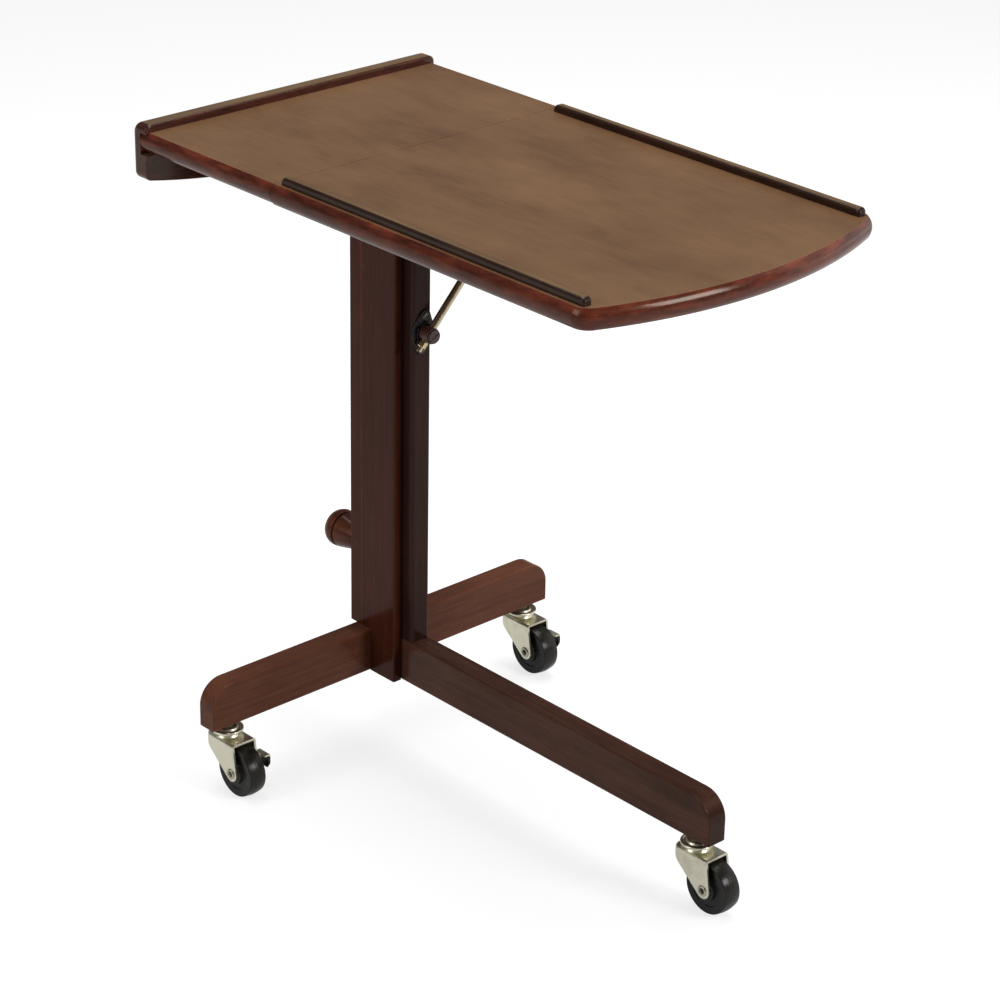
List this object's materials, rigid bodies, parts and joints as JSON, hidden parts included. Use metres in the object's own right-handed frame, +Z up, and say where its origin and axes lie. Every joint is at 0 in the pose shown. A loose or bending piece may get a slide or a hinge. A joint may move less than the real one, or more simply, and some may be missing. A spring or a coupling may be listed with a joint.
{
  "type": "typewriter table",
  "caption": "Wheeled cantilever table with T-shaped foot, sliding post in a slotted channel, clamp knob, end lip, and a bowed tilting leaf with paper rails and a strut.",
  "frame": {"origin": "on the floor under the centre of the table's bounding box, with the post down and the leaf level", "axes": "+Z up, +X along the table from the lipped end towards the bowed end, +Y across the table towards the side of the tilt strut"},
  "size_m": [0.7239, 0.4968, 0.7185],
  "materials": {
    "walnut_top": "clear varnish, worn, faint mottling",
    "walnut_rail": "clear varnish over paler hardwood",
    "walnut_lip": "dark red-brown stain, glossy varnish",
    "walnut_post": "dark stain, satin varnish",
    "walnut_board": "dark stain, satin varnish",
    "walnut_foot": "dark stain, worn satin varnish",
    "walnut_knob": "turned, dark stain, satin varnish",
    "hidden_timber": "bare hardwood",
    "dark_plug": "end grain, dark stain",
    "bright_steel": "bright turned steel",
    "zinc_steel": "bright zinc plate",
    "satin_fork": "satin nickel plate",
    "chrome_race": "bright chrome plate",
    "black_plate": "black enamel",
    "hub_paint": "oxblood-brown lacquer",
    "bronze_rod": "aged nickel plate",
    "brass": "turned brass",
    "brass_screw": "brass wood screws",
    "black_rubber": "hard black rubber, worn tread"
  },
  "bodies": {
    "base": {"cross_bar": "walnut_foot", "leg": "walnut_foot", "leg_screws": "bright_steel", "channel_screws": "brass_screw", "channel_plugs": "dark_plug", "back_board": "walnut_board", "side_board_near": "walnut_board", "side_board_far": "walnut_board", "guide_strip_near": "hidden_timber", "guide_strip_far": "hidden_timber", "caster_stem_near": "zinc_steel", "caster_stem_far": "zinc_steel", "caster_stem_front": "zinc_steel", "caster_race_near": "chrome_race", "caster_race_far": "chrome_race", "caster_race_front": "chrome_race"},
    "post": {"inner_post": "walnut_post", "post_insert": "brass", "support_block_near": "hidden_timber", "support_block_far": "hidden_timber", "block_bolts": "zinc_steel", "head_screws": "brass_screw", "small_leaf": "walnut_top", "end_lip": "walnut_lip", "tilt_shaft": "bright_steel", "shaft_pin": "bright_steel", "shaft_collars": "zinc_steel", "strut_plate": "black_plate", "strut_screws": "bright_steel"},
    "knob": {"height_knob": "walnut_knob", "knob_stud": "bright_steel", "knob_washer": "zinc_steel"},
    "leaf": {"tilt_leaf": "walnut_top", "rail_near": "walnut_rail", "rail_far": "walnut_rail", "bearing_block_rear": "hidden_timber", "bearing_block_front": "hidden_timber", "bearing_foot_rear": "hidden_timber", "bearing_foot_front": "hidden_timber", "bearing_screws": "brass_screw", "rod_bracket": "black_plate", "bracket_screws": "brass_screw", "rod_pivot_pin": "bright_steel"},
    "hub": {"strut_hub": "hub_paint", "hub_collar": "black_plate"},
    "lock_screw": {"strut_lock_screw": "bright_steel"},
    "strut": {"strut_rod": "bronze_rod", "rod_stop_nut": "brass"},
    "caster_near": {"fork_near": "satin_fork", "axle_near": "zinc_steel"},
    "roller_near": {"wheel_near": "black_rubber", "wheel_bush_near": "zinc_steel"},
    "caster_far": {"fork_far": "satin_fork", "axle_far": "zinc_steel"},
    "roller_far": {"wheel_far": "black_rubber", "wheel_bush_far": "zinc_steel"},
    "caster_front": {"fork_front": "satin_fork", "axle_front": "zinc_steel"},
    "roller_front": {"wheel_front": "black_rubber", "wheel_bush_front": "zinc_steel"},
    "brake_near": {"brake_pedal_near": "satin_fork"},
    "brake_far": {"brake_pedal_far": "satin_fork"}
  },
  "joints": [
    {"name": "height_slide", "type": "slide", "parent": "base", "child": "post", "axis": [0, 0, 1], "range_m": [0, 0.305]},
    {"name": "height_knob_turn", "type": "hinge", "parent": "post", "child": "knob", "pos_m": [-0.24, 0, 0.222], "axis": [1, 0, 0], "range_deg": [0, 360]},
    {"name": "leaf_tilt", "type": "hinge", "parent": "post", "child": "leaf", "pos_m": [0, 0, 0.655], "axis": [-1, 0, 0], "range_deg": [0, 35]},
    {"name": "hub_swivel", "type": "hinge", "parent": "post", "child": "hub", "pos_m": [-0.1155, 0, 0.5015], "axis": [-1, 0, 0], "range_deg": [0, 17.5]},
    {"name": "lock_screw_turn", "type": "hinge", "parent": "hub", "child": "lock_screw", "pos_m": [-0.106, 0, 0.5015], "axis": [-1, 0, 0], "range_deg": [0, 180]},
    {"name": "rod_pivot", "type": "hinge", "parent": "leaf", "child": "strut", "pos_m": [-0.1155, 0.15317, 0.665], "axis": [-1, 0, 0], "range_deg": [-17.5, 0]},
    {"name": "swivel_near", "type": "hinge", "parent": "base", "child": "caster_near", "pos_m": [-0.1948, -0.2188, 0.065], "axis": [0, 0, 1], "continuous": true},
    {"name": "roll_near", "type": "hinge", "parent": "caster_near", "child": "roller_near", "pos_m": [-0.1698, -0.2188, 0.0295], "axis": [0, 1, 0], "continuous": true},
    {"name": "swivel_far", "type": "hinge", "parent": "base", "child": "caster_far", "pos_m": [-0.1948, 0.2188, 0.065], "axis": [0, 0, 1], "continuous": true},
    {"name": "roll_far", "type": "hinge", "parent": "caster_far", "child": "roller_far", "pos_m": [-0.1698, 0.2188, 0.0295], "axis": [0, 1, 0], "continuous": true},
    {"name": "swivel_front", "type": "hinge", "parent": "base", "child": "caster_front", "pos_m": [0.3086, 0, 0.065], "axis": [0, 0, 1], "continuous": true},
    {"name": "roll_front", "type": "hinge", "parent": "caster_front", "child": "roller_front", "pos_m": [0.3336, 0, 0.0295], "axis": [0, 1, 0], "continuous": true},
    {"name": "brake_near_press", "type": "hinge", "parent": "caster_near", "child": "brake_near", "pos_m": [-0.1698, -0.1991, 0.039], "axis": [-1, 0, 0], "range_deg": [0, 10]},
    {"name": "brake_far_press", "type": "hinge", "parent": "caster_far", "child": "brake_far", "pos_m": [-0.1698, 0.2385, 0.039], "axis": [-1, 0, 0], "range_deg": [0, 10]}
  ],
  "couplings": [
    {"joint": "hub_swivel", "follows": "leaf_tilt", "ratio": 0.5},
    {"joint": "rod_pivot", "follows": "leaf_tilt", "ratio": -0.5}
  ]
}
